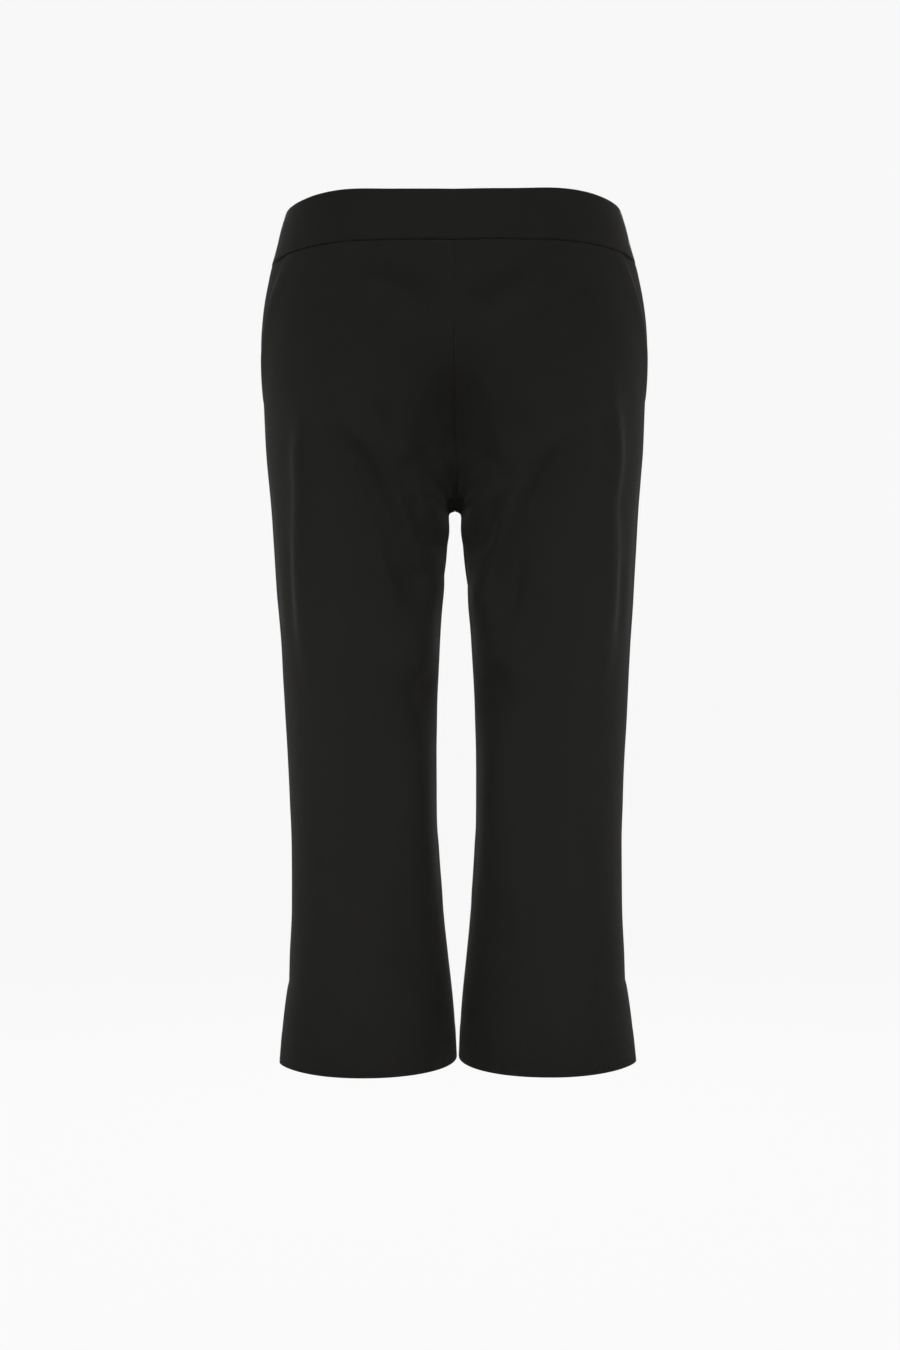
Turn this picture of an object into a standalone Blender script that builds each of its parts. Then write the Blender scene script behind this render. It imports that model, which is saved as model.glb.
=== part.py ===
"""Pull-on capri pants, filled out as worn, built panel by panel.

Row frame: metres, +Z up, front faces -Y, the wearer's left at +X. The origin is the centre of the waist opening at the
middle of the waistband, where a wearer's waist holds the garment.

The garment is one closed form. At each level a half section runs from the centre seam (above the crotch) or the inseam
(below it) round to the side seam, once over the front and once over the back. Above the crotch the section is half a
torso ring, below it a whole leg ring, and between RISE_TOP and the crotch the one turns into the other, which draws the
curved crotch seam. Every piece is a patch of that form, cut at its seams and given its cloth's thickness.

Lengths below are millimetres until a mesh is made.
"""

import bmesh
import bpy
import numpy as np

# ---------------------------------------------------------------- sizes, mm
CLOTH = 1.4  # wall of a leg panel
BAND_WALL = 2.8  # the band is cloth, elastic and cloth
BAND_PROUD = 0.5  # the band's face over the panels
EDGE = 0.15  # each piece stops this short of a seam, so neighbours are 0.3 apart
POCKET_SINK = 2.1  # the side piece's depth behind the front panel's pocket edge
POCKET_UNDER = 16.0  # how far the side piece runs on under the front panel
POCKET_GAPE = 1.0  # how far the pocket edge stands off the hip

CROTCH_Z = -242.0
HEM_Z = {"inseam": -728.6, "side": -731.5}
SLIT_Z = -659.0  # top of the open slit in the side seam
POCKET_Z = -156.0  # where the pocket edge meets the side seam
POCKET_START = 58.0  # how far forward of the side seam the pocket edge leaves the band
RISE_TOP = {"front": -98.0, "back": -112.0}  # where the crotch curve starts
RISE_ROUND = {"front": 1.8, "back": 2.1}  # 2 is a quarter ellipse, more is squarer
VALLEY = 26.0  # half width of the hollow over the crotch curve, where the form is still round the hip
BLEND = (0.05, 0.25)  # share of a section over which the cloth leaves the centre seam for the thigh, low and high
ARCH = 3.4  # height over which the gap between the legs opens

# half width of the garment at the side seam
SIDE = {
    "z": (45, 28, 19, 4, -10, -20, -28.5, -42, -60, -80, -103, -125, -146, -190, -242, -300, -360, -420, -480, -540, -590, -637, -660, -735),
    "half_width": (137.5, 143.5, 147.0, 151.6, 155.0, 157.9, 160.7, 163.8, 167.2, 169.6, 170.6, 169.7, 168.6, 166.7, 162.6, 158.9, 155.3, 151.8, 148.7, 147.2, 147.5, 149.2, 149.8, 151.0),
}
# depth of the form before and behind its side seams
DEPTH = {
    "z": (45, 17, -24, -60, -103, -146, -190, -242, -300, -360, -420, -480, -540, -590, -637, -680, -735),
    "front": (99, 101, 106, 109, 110, 108, 105, 99, 92, 86, 81, 77.5, 75.5, 74.5, 75, 76.5, 79.5),
    "back": (98, 101, 109, 117, 123, 126, 124.5, 118, 108, 99, 92, 87, 83.3, 81.2, 80, 79.3, 79),
}
# how square the form is round the hip and down the outer leg: 2 is an ellipse
SQUARE = {"z": (45, -24, -103, -190, -300, -420, -735), "square": (2.5, 2.45, 2.35, 2.25, 2.15, 2.1, 2.1)}
# each leg ring: half the gap between the legs, how far across the leg its foremost line lies (0 is the inseam), how
# square its inner side is, and how far forward its inseam and side seam stand
LEG = {
    "z": (-98, -190, -242, -300, -360, -420, -480, -540, -590, -637, -680, -729),
    "gap": (5.0, 5.0, 5.0, 9.8, 14.0, 16.5, 17.4, 16.2, 12.5, 7.8, 3.3, 0.8),
    "crown": (0.34, 0.34, 0.36, 0.42, 0.47, 0.5, 0.5, 0.5, 0.5, 0.5, 0.5, 0.5),
    "inner_square": (2.8, 2.7, 2.5, 2.3, 2.2, 2.15, 2.1, 2.1, 2.1, 2.1, 2.1, 2.1),
    "middle": (0, 0, 0, -0.5, -1, -1.5, -2, -1.5, -0.5, 0.5, 1, 1),
}
# height of the waist edge and of the band's seam round each half, share 0 at the centre and 1 at the side seam
WAIST = {
    "front": {"share": (0, 0.25, 0.5, 0.6, 0.7, 0.8, 0.9, 1), "top": (21.9, 22.9, 25.2, 24.3, 22.3, 20.4, 19.2, 18.9), "seam": (-21.8, -21, -20.9, -22.2, -23.8, -25.9, -27.6, -28.5)},
    "back": {"share": (0, 0.3, 0.6, 0.85, 1), "top": (32, 30, 25, 20.0, 18.9), "seam": (-14, -16, -21.5, -27, -28.5)},
}
# how far each flap spreads sideways at the hem beside the slit, and how much of the seam's length it gives up there
FLAP = {"front": {"spread": 8.6, "open": 12.0}, "back": {"spread": 6.0, "open": 4.0}}
# the largest folds, as (half, share and z of one end, share and z of the other, half width, depth)
FOLD_COLUMNS = ("half", "share_a", "z_a", "share_b", "z_b", "width", "depth")
FOLDS = (
    ("front", 0.50, -172, 0.18, -350, 15, 4.2),  # thigh to inner knee
    ("front", 0.19, -222, 0.09, -300, 11, 2.6),  # beside the crotch
    ("front", 0.16, -560, 0.22, -690, 14, 1.6),  # inner calf
    ("back", 0.55, -225, 0.25, -335, 24, 2.4),  # under the seat
    ("back", 0.22, -225, 0.12, -360, 14, 2.4),  # beside the crotch, behind
    ("back", 0.16, -430, 0.34, -520, 17, 1.8),  # back of the knee
)

PANEL_ROWS = 29
RISE_ROWS = 12  # of those rows, how many lie above the crotch
PANEL_COLUMNS = (0, 0.015, 0.04, 0.08, 0.14, 0.215, 0.3, 0.39, 0.48, 0.57, 0.65, 0.725, 0.795, 0.865, 0.93, 1)
BAND_COLUMNS = 16
CURVE_POINTS = 160
FINE_ROWS, FINE_COLUMNS = 180, 60

BLACK = {"cloth": (0.0135, 0.0135, 0.0118), "band": (0.0125, 0.0125, 0.0110), "pocket": (0.0110, 0.0110, 0.0098)}


# ---------------------------------------------------------------- the form
def read(table, name, at, key="z"):
    """A table's column at these places, along a smooth curve through its rows."""
    x = np.array(table[key], float)
    y = np.array(table[name], float)
    order = np.argsort(x)
    x, y = x[order], y[order]
    slope = np.gradient(y, x)
    at = np.clip(np.asarray(at, float), x[0], x[-1])
    k = np.clip(np.searchsorted(x, at) - 1, 0, len(x) - 2)
    h = x[k + 1] - x[k]
    t = (at - x[k]) / h
    return (
        (2 * t**3 - 3 * t**2 + 1) * y[k]
        + (t**3 - 2 * t**2 + t) * h * slope[k]
        + (3 * t**2 - 2 * t**3) * y[k + 1]
        + (t**3 - t**2) * h * slope[k + 1]
    )


def power(v, square):
    return np.sign(v) * np.abs(v) ** (2.0 / square)


def ease(t):
    t = np.clip(t, 0, 1)
    return t * t * (3 - 2 * t)


def crotch_pull(z, half):
    """How far the crotch curve has gone from the front or back (0) to the crotch (1) at each z."""
    top, p = RISE_TOP[half], RISE_ROUND[half]
    t = np.clip((top - z) / (top - CROTCH_Z), 0, 1)
    return 1 - (1 - t**p) ** (1 / p)


def sections(z, half):
    """Points of the half section at each z, from the centre seam or inseam to the side seam: (len(z), points, 2)."""
    z = np.asarray(z, float)[:, None]
    way = -1.0 if half == "front" else 1.0
    k = np.linspace(0, 1, CURVE_POINTS)[None, :]
    side, depth, square = read(SIDE, "half_width", z), read(DEPTH, half, z), read(SQUARE, "square", z)
    pull = crotch_pull(z, half)
    # round the hip, hollowed at the middle by the crotch curve
    quarter = np.pi / 2 * (1 - k**1.6)
    hip_x = side * power(np.cos(quarter), square)
    hip_y = depth * power(np.sin(quarter), square) * (1 - pull * np.exp(-((hip_x / VALLEY) ** 2)))
    # round the thigh, from where the crotch curve meets it to the side seam
    gap, inner_square = read(LEG, "gap", z), read(LEG, "inner_square", z)
    crown = gap + (side - gap) * read(LEG, "crown", z)
    start = np.pi - np.arcsin(np.clip(1 - pull, 0, 1) ** (inner_square / 2))
    turn = start * (1 - k)
    inward = np.cos(turn) < 0
    bend = np.where(inward, inner_square, square)
    leg_x = crown + np.where(inward, crown - gap, side - crown) * power(np.cos(turn), bend)
    leg_y = depth * power(np.sin(turn), bend)
    # the cloth leaves the centre seam at x = 0, and below the crotch the gap opens as a small arch
    drop = np.clip((CROTCH_Z - z) / ARCH, 0, 1)
    shut = np.where(z >= CROTCH_Z, 1.0, 1 - np.sqrt(1 - (1 - drop) ** 2))
    blend = BLEND[0] + (BLEND[1] - BLEND[0]) * ease((z - CROTCH_Z) / 70)
    leg_x = leg_x - shut * leg_x[:, :1] * (1 - ease(k / blend))
    m = ease((RISE_TOP[half] - z) / (RISE_TOP[half] - CROTCH_Z) / 0.96)
    x = (1 - m) * hip_x + m * leg_x
    y = (1 - m) * hip_y + m * leg_y
    return np.stack([x, way * y + read(LEG, "middle", z)], axis=-1)


def on_sections(share, z, half):
    """Points of the form at these shares of the half section's length, for equal-length arrays share and z."""
    curve = sections(z, half)
    step = np.linalg.norm(np.diff(curve, axis=1), axis=2)
    run = np.concatenate([np.zeros((len(curve), 1)), np.cumsum(step, axis=1)], axis=1)
    out = np.empty((len(curve), 3))
    for n, (points, length) in enumerate(zip(curve, run)):
        want = share[n] * length[-1]
        out[n] = np.interp(want, length, points[:, 0]), np.interp(want, length, points[:, 1]), z[n]
    return out


def seam_levels(half, rise_rows, rows):
    """z of each row at the centre seam and inseam: evenly spread along the crotch curve, then down the inseam."""
    fine = np.concatenate([np.linspace(-20, CROTCH_Z + 3, 200), CROTCH_Z + 3 * (1 - np.linspace(0, 1, 60)[1:]) ** 3])
    y = on_sections(np.zeros(len(fine)), fine, half)[:, 1]
    run = np.concatenate([[0], np.cumsum(np.hypot(np.diff(y), np.diff(fine)))])
    above = np.interp(np.linspace(0, run[-1], rise_rows + 1), run, fine)
    close = np.array([0.0, 0.8, 2.6, 8.0, 19.0])
    far = np.linspace(close[-1], CROTCH_Z - HEM_Z["inseam"], rows - rise_rows - len(close) + 2)
    return np.concatenate([above, CROTCH_Z - close[1:], CROTCH_Z - far[1:]])


def side_levels(rows):
    return np.linspace(WAIST["front"]["seam"][-1], HEM_Z["side"], rows + 1)


def levels(share, row, half, inner_z, side_z):
    """z of a row at each share, for the panels: even at the side seam, closer at the crotch, and along the band's seam
    at the top."""
    at = np.arange(len(inner_z))
    pull = (1 - share) ** 2
    base = pull * np.interp(row, at, inner_z) + (1 - pull) * np.interp(row, at, side_z)
    first = pull * inner_z[0] + (1 - pull) * side_z[0]
    fade = np.clip(1 - row / (0.11 * at[-1]), 0, 1)
    return base + (read(WAIST[half], "seam", share, "share") - first) * fade


def fold_depth(share, z, half, folds):
    """How far the folds press the cloth in at each point."""
    out = np.zeros(np.shape(z))
    for values in folds:
        f = dict(zip(FOLD_COLUMNS, values))
        if f["half"] != half:
            continue
        scale = 250.0  # mm in a half section, near enough for a fold
        ax, az, bx, bz = f["share_a"] * scale, f["z_a"], f["share_b"] * scale, f["z_b"]
        dx, dz = bx - ax, bz - az
        t = ((share * scale - ax) * dx + (z - az) * dz) / (dx * dx + dz * dz)
        along = np.clip(t, 0, 1)
        off = np.hypot(share * scale - ax - along * dx, z - az - along * dz)
        out += f["depth"] * np.exp(-((off / f["width"]) ** 2)) * np.sin(np.pi * np.clip(0.08 + 0.84 * along, 0, 1))
    return out


def normals_of(front, back, crotch_row):
    """Outward unit normals of the two halves' grids, worked out together across the seams that they share."""
    out = {}
    for half, p in (("front", front), ("back", back)):
        a, b, c, d = p[:-1, :-1], p[1:, :-1], p[1:, 1:], p[:-1, 1:]
        face = np.cross(c - a, d - b)
        if half == "back":
            face = -face
        n = np.zeros_like(p)
        n[:-1, :-1] += face
        n[1:, :-1] += face
        n[1:, 1:] += face
        n[:-1, 1:] += face
        out[half] = n
    f, b = out["front"], out["back"]
    both = f[:, -1] + b[:, -1]
    f[:, -1] = both
    b[:, -1] = both
    both = f[crotch_row:, 0] + b[crotch_row:, 0]
    f[crotch_row:, 0] = both
    b[crotch_row:, 0] = both
    for n in (f, b):
        n[: crotch_row + 1, 0, 0] = 0
        n /= np.linalg.norm(n, axis=2, keepdims=True)
    return out


class Form:
    """The garment's outer face for x > 0 as two fine grids, read by share (0 centre or inseam, 1 side seam) and row
    (-1 waist edge, 0 band seam, up to PANEL_ROWS at the hem)."""

    def __init__(self):
        self.rows, self.shares = {}, np.linspace(0, 1, FINE_COLUMNS + 1)
        row = np.concatenate([np.linspace(-1, 0, 9)[:-1], np.linspace(0, PANEL_ROWS, FINE_ROWS + 1)])
        self.row = np.sort(np.unique(np.append(row, RISE_ROWS)))
        crotch = int(np.searchsorted(self.row, RISE_ROWS))
        points, heights = {}, {}
        for half in ("front", "back"):
            inner_z = seam_levels(half, RISE_ROWS, PANEL_ROWS)
            side_z = side_levels(PANEL_ROWS)
            s, r = np.meshgrid(self.shares, self.row)
            z = levels(s, np.maximum(r, 0), half, inner_z, side_z)
            seam = read(WAIST[half], "seam", s, "share")
            top = read(WAIST[half], "top", s, "share")
            z = np.where(r < 0, seam + (top - seam) * -r, z)
            heights[half] = z
            points[half] = on_sections(s.ravel(), z.ravel(), half).reshape(*z.shape, 3)
        normals = normals_of(points["front"], points["back"], crotch)
        for half in ("front", "back"):
            press = fold_depth(self.shares[None, :], heights[half], half, FOLDS)
            points[half] = points[half] - normals[half] * press[..., None]
            flap = FLAP[half]
            drop = np.clip((SLIT_Z - heights[half]) / (SLIT_Z - HEM_Z["side"]), 0, 1)
            near = np.exp(-(((1 - self.shares[None, :]) * 240 / 46.0) ** 2))
            points[half][..., 0] += flap["spread"] * drop**0.8 * near
        self.points, self.normals = points, normals_of(points["front"], points["back"], crotch)
        self.heights = heights
        self.widths = {h: np.linalg.norm(np.diff(points[h], axis=1), axis=2).sum(axis=1) for h in points}

    def width(self, half, row):
        return np.interp(row, self.row, self.widths[half])

    def at(self, half, share, row):
        """(points, normals) at these shares and rows, which have one shape."""
        share, row = np.broadcast_arrays(share, row)
        j = np.clip(np.searchsorted(self.row, row, side="right") - 1, 0, len(self.row) - 2)
        fj = ((row - self.row[j]) / (self.row[j + 1] - self.row[j]))[..., None]
        x = np.clip(share, 0, 1) * FINE_COLUMNS
        i = np.clip(x.astype(int), 0, FINE_COLUMNS - 1)
        fi = (x - i)[..., None]
        out = []
        for grid in (self.points[half], self.normals[half]):
            low = grid[j, i] * (1 - fi) + grid[j, i + 1] * fi
            high = grid[j + 1, i] * (1 - fi) + grid[j + 1, i + 1] * fi
            out.append(low * (1 - fj) + high * fj)
        points, normals = out
        return points, normals / np.linalg.norm(normals, axis=-1, keepdims=True)

    def height(self, half, share, row):
        j = np.interp(row, self.row, np.arange(len(self.row)))
        k = np.clip(j.astype(int), 0, len(self.row) - 2)
        x = np.clip(share, 0, 1) * FINE_COLUMNS
        i = np.clip(x.astype(int), 0, FINE_COLUMNS - 1)
        grid = self.heights[half]
        low = grid[k, i] * (1 - (x - i)) + grid[k, i + 1] * (x - i)
        high = grid[k + 1, i] * (1 - (x - i)) + grid[k + 1, i + 1] * (x - i)
        return low * (1 - (j - k)) + high * (j - k)


FORM = Form()


def side_row(z):
    """The row whose side end is at this height."""
    side_z = side_levels(PANEL_ROWS)
    return np.interp(-z, -side_z, np.arange(PANEL_ROWS + 1))


POCKET_ROW = float(side_row(POCKET_Z))
SLIT_ROW = float(side_row(SLIT_Z))


def pocket_inset(row):
    """How far before the side seam the front panel's pocket edge lies, in mm."""
    t = np.clip(row / POCKET_ROW, 0, 1)
    return POCKET_START * (1 - t) ** 0.85


# ---------------------------------------------------------------- patches
def panel_patch(half):
    """(outer points, normals) of a front or back leg panel for x > 0."""
    rows = np.arange(PANEL_ROWS + 1, dtype=float)
    if half == "front":  # a row where the pocket edge turns in to the side seam
        rows = np.sort(np.append(rows, POCKET_ROW))
    rows = np.sort(np.unique(np.round(np.append(rows, SLIT_ROW), 6)))
    width = FORM.width(half, rows)
    start = EDGE / width
    end_cut = np.full(len(rows), EDGE)
    drop = np.clip((rows - SLIT_ROW) / (PANEL_ROWS - SLIT_ROW), 0, 1)
    end_cut += FLAP[half]["open"] * drop
    if half == "front":
        inset = pocket_inset(rows)
        end_cut = np.where(rows < POCKET_ROW - 1e-6, np.maximum(end_cut, inset), end_cut)
    end = 1 - end_cut / width
    share = start[:, None] + (end - start)[:, None] * np.array(PANEL_COLUMNS)[None, :]
    row = np.repeat(rows[:, None], len(PANEL_COLUMNS), axis=1)
    row[0] += 0.15 / 18.0 * 1.2  # the top edge stops short of the band
    points, normals = FORM.at(half, share, row)
    points[..., 0] = np.maximum(points[..., 0], EDGE)
    if half == "front":  # the pocket edge stands off the hip a little
        from_edge = (end[:, None] - share) * width[:, None]
        lift = np.sin(np.pi * np.clip(rows / POCKET_ROW, 0, 1))[:, None] * POCKET_GAPE
        points = points + normals * (lift * np.exp(-((from_edge / 14.0) ** 2)))[..., None]
    return points, normals


def pocket_patch():
    """(outer points, normals) of the side piece inside the pocket opening for x > 0."""
    rows = np.append(np.linspace(0, POCKET_ROW - 0.9, 8), [POCKET_ROW - 0.3, POCKET_ROW + 0.3])
    width = FORM.width("front", rows)
    inset = pocket_inset(rows)
    start = 1 - (inset + POCKET_UNDER) / width
    end = 1 - EDGE / width
    share = start[:, None] + (end - start)[:, None] * np.array([0, 0.11, 0.22, 0.36, 0.52, 0.7, 0.86, 1.0])[None, :]
    row = np.repeat(rows[:, None], share.shape[1], axis=1)
    row[0] += 0.15 / 18.0 * 1.2
    points, normals = FORM.at("front", share, row)
    to_side = (1 - share) * width[:, None]
    reach = np.maximum(inset, 4.0)[:, None]
    low = ease((rows / POCKET_ROW - 0.55) / 0.33)[:, None]
    sink = POCKET_SINK * np.maximum(ease((to_side / reach - 0.3) / 0.62), low)
    return points - normals * sink[..., None], normals


def band_patch(half):
    """(outer points, normals) of the band from the -x side seam to the +x one."""
    share = np.linspace(0, 1, BAND_COLUMNS + 1)
    share[-1] = 1 - EDGE / float(FORM.width(half, -0.5))
    rows = np.array([-0.955, -0.66, -0.33, -0.004])
    s, r = np.meshgrid(share, rows)
    points, normals = FORM.at(half, s, r)
    points[:, 0, 0] = 0
    normals[:, 0, 0] = 0
    mirror = np.array([-1.0, 1.0, 1.0])
    points = np.concatenate([points[:, :0:-1] * mirror, points], axis=1)
    normals = np.concatenate([normals[:, :0:-1] * mirror, normals], axis=1)
    return points, normals


# ---------------------------------------------------------------- meshes
def material(name, colour, roughness):
    m = bpy.data.materials.new(name)
    m.use_nodes = True
    shader = m.node_tree.nodes["Principled BSDF"]
    shader.inputs["Base Color"].default_value = (*colour, 1)
    shader.inputs["Roughness"].default_value = roughness
    shader.inputs["Metallic"].default_value = 0.0
    m.diffuse_color = (*colour, 1)
    return m


def shell(name, outer, inner, finish, turned, crest=None):
    """A closed wall between two grids of the same shape. turned says that the grid's faces, read row by row, point in.
    crest is a row of points over the first row's edge, which rounds it."""
    mesh = bpy.data.meshes.new(name)
    bm = bmesh.new()
    rows, columns = outer.shape[:2]
    out = [[bm.verts.new(p * 0.001) for p in line] for line in outer]
    ins = [[bm.verts.new(p * 0.001) for p in line] for line in inner]

    def face(*corners):
        bm.faces.new(corners if turned else corners[::-1])

    for j in range(rows - 1):
        for i in range(columns - 1):
            face(out[j][i], out[j][i + 1], out[j + 1][i + 1], out[j + 1][i])
            face(ins[j][i], ins[j + 1][i], ins[j + 1][i + 1], ins[j][i + 1])
    for j in range(rows - 1):
        face(out[j][0], out[j + 1][0], ins[j + 1][0], ins[j][0])
        face(out[j][-1], ins[j][-1], ins[j + 1][-1], out[j + 1][-1])
    for i in range(columns - 1):
        face(out[-1][i], out[-1][i + 1], ins[-1][i + 1], ins[-1][i])
    if crest is None:
        for i in range(columns - 1):
            face(out[0][i], ins[0][i], ins[0][i + 1], out[0][i + 1])
    else:
        top = [bm.verts.new(p * 0.001) for p in crest]
        for i in range(columns - 1):
            face(out[0][i], top[i], top[i + 1], out[0][i + 1])
            face(top[i], ins[0][i], ins[0][i + 1], top[i + 1])
        for i in (0, columns - 1):
            corners = (out[0][i], ins[0][i], top[i])
            face(*(corners if i == 0 else corners[::-1]))
    bm.normal_update()
    bm.to_mesh(mesh)
    bm.free()
    mesh.shade_smooth()
    mesh.set_sharp_from_angle(angle=0.7)
    obj = bpy.data.objects.new(name, mesh)
    obj.data.materials.append(finish)
    bpy.context.scene.collection.objects.link(obj)
    return obj


def pair(name, points, normals, wall, finish, back):
    """The left piece at +X from its outer face, and the right one as its mirror image."""
    for side, flip in (("left", 1.0), ("right", -1.0)):
        mirror = np.array([flip, 1.0, 1.0])
        outer = points * mirror
        inner = (points - normals * wall) * mirror
        inner[..., 0] = flip * np.maximum(flip * inner[..., 0], EDGE)
        shell(f"{name}_{side}", outer, inner, finish, turned=(flip > 0) == back)


def main():
    for obj in list(bpy.data.objects):
        bpy.data.objects.remove(obj, do_unlink=True)
    cloth = material("black_stretch_cloth", BLACK["cloth"], 0.62)
    band_cloth = material("black_band_cloth", BLACK["band"], 0.6)
    pocket_cloth = material("black_pocket_cloth", BLACK["pocket"], 0.66)

    for half in ("front", "back"):
        points, normals = panel_patch(half)
        pair(half, points, normals, CLOTH, cloth, back=half == "back")
        points, normals = band_patch(half)
        outer = points + normals * BAND_PROUD
        inner = points - normals * (BAND_WALL - BAND_PROUD)
        crest = (outer[0] + inner[0]) / 2
        crest[:, 2] += 1.2
        shell(f"waistband_{half}", outer, inner, band_cloth, turned=half == "back", crest=crest)
    points, normals = pocket_patch()
    pair("pocket_side", points, normals, 1.1, pocket_cloth, back=False)


main()
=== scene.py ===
"""The looks of a pair of pull-on capri pants, filled out as worn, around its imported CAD.

Row frame: metres, +Z up, front faces -Y, the wearer's left at +X. Every sewn piece is a thin closed shell of cloth on
the form of the CAD solid that it stands for: the same tables of sizes, read at a much finer grid, with its folds,
turned edges and pressed seams added. Lengths are millimetres until a mesh is made.
"""

import math

import bpy
import numpy as np
from mathutils import Euler, Matrix, Vector


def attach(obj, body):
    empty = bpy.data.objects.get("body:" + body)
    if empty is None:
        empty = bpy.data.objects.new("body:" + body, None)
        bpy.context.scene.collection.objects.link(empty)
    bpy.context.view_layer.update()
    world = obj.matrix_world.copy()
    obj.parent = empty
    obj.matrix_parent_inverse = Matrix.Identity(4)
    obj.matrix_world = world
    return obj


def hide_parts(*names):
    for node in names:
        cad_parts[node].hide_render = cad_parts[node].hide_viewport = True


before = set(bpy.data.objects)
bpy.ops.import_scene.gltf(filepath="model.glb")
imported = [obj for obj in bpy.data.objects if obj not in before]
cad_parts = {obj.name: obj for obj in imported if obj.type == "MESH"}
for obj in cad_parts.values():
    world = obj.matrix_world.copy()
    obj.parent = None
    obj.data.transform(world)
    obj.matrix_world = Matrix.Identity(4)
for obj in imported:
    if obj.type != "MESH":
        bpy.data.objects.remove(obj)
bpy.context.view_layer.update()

# ---------------------------------------------------------------- sizes, mm, as in the CAD
CLOTH = 1.4
BAND_WALL = 2.8
BAND_PROUD = 0.5
EDGE = 0.0  # the CAD keeps its pieces 0.3 mm apart, and sewn cloth meets
MEET = 0.04
POCKET_SINK = 2.2
POCKET_UNDER = 16.0
POCKET_GAPE = 2.0
POCKET_TURN = 6.5

CROTCH_Z = -242.0
HEM_Z = {"inseam": -728.6, "side": -731.5}
SLIT_Z = -659.0
POCKET_Z = -156.0
POCKET_START = 58.0
RISE_TOP = {"front": -98.0, "back": -112.0}
RISE_ROUND = {"front": 1.8, "back": 2.1}
VALLEY = 26.0
BLEND = (0.05, 0.25)
ARCH = 3.4
VALLEY_FILL = 0.3

SIDE = {
    "z": (45, 28, 19, 4, -10, -20, -28.5, -42, -60, -80, -103, -125, -146, -190, -242, -300, -360, -420, -480, -540, -590, -637, -660, -735),
    "half_width": (137.5, 143.5, 147.0, 151.6, 155.0, 157.9, 160.7, 163.8, 167.2, 169.6, 170.6, 169.7, 168.6, 166.7, 162.6, 158.9, 155.3, 151.8, 148.7, 147.2, 147.5, 149.2, 149.8, 151.0),
}
DEPTH = {
    "z": (45, 17, -24, -60, -103, -146, -190, -242, -300, -360, -420, -480, -540, -590, -637, -680, -735),
    "front": (99, 101, 106, 109, 110, 108, 105, 99, 92, 86, 81, 77.5, 75.5, 74.5, 75, 76.5, 79.5),
    "back": (98, 101, 109, 117, 123, 126, 124.5, 118, 108, 99, 92, 87, 83.3, 81.2, 80, 79.3, 79),
}
SQUARE = {"z": (45, -24, -103, -190, -300, -420, -735), "square": (2.5, 2.45, 2.35, 2.25, 2.15, 2.1, 2.1)}
LEG = {
    "z": (-98, -190, -242, -300, -360, -420, -480, -540, -590, -637, -680, -729),
    "gap": (5.0, 5.0, 5.0, 9.8, 14.0, 16.5, 17.4, 16.2, 12.5, 7.8, 3.3, 0.8),
    "crown": (0.34, 0.34, 0.36, 0.42, 0.47, 0.5, 0.5, 0.5, 0.5, 0.5, 0.5, 0.5),
    "inner_square": (2.8, 2.7, 2.5, 2.3, 2.2, 2.15, 2.1, 2.1, 2.1, 2.1, 2.1, 2.1),
    "middle": (0, 0, 0, -0.5, -1, -1.5, -2, -1.5, -0.5, 0.5, 1, 1),
}
WAIST = {
    "front": {"share": (0, 0.25, 0.5, 0.6, 0.7, 0.8, 0.9, 1), "top": (21.9, 22.9, 25.2, 24.3, 22.3, 20.4, 19.2, 18.9), "seam": (-21.8, -21, -20.9, -22.2, -23.8, -25.9, -27.6, -28.5)},
    "back": {"share": (0, 0.3, 0.6, 0.85, 1), "top": (32, 30, 25, 20.0, 18.9), "seam": (-14, -16, -21.5, -27, -28.5)},
}
FLAP = {"front": {"spread": 8.6, "open": 12.0}, "back": {"spread": 6.0, "open": 4.0}}

LEVELS = 29  # the CAD's rows down a panel, which number the levels here too
RISE = 12
CURVE_POINTS = 160

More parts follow.
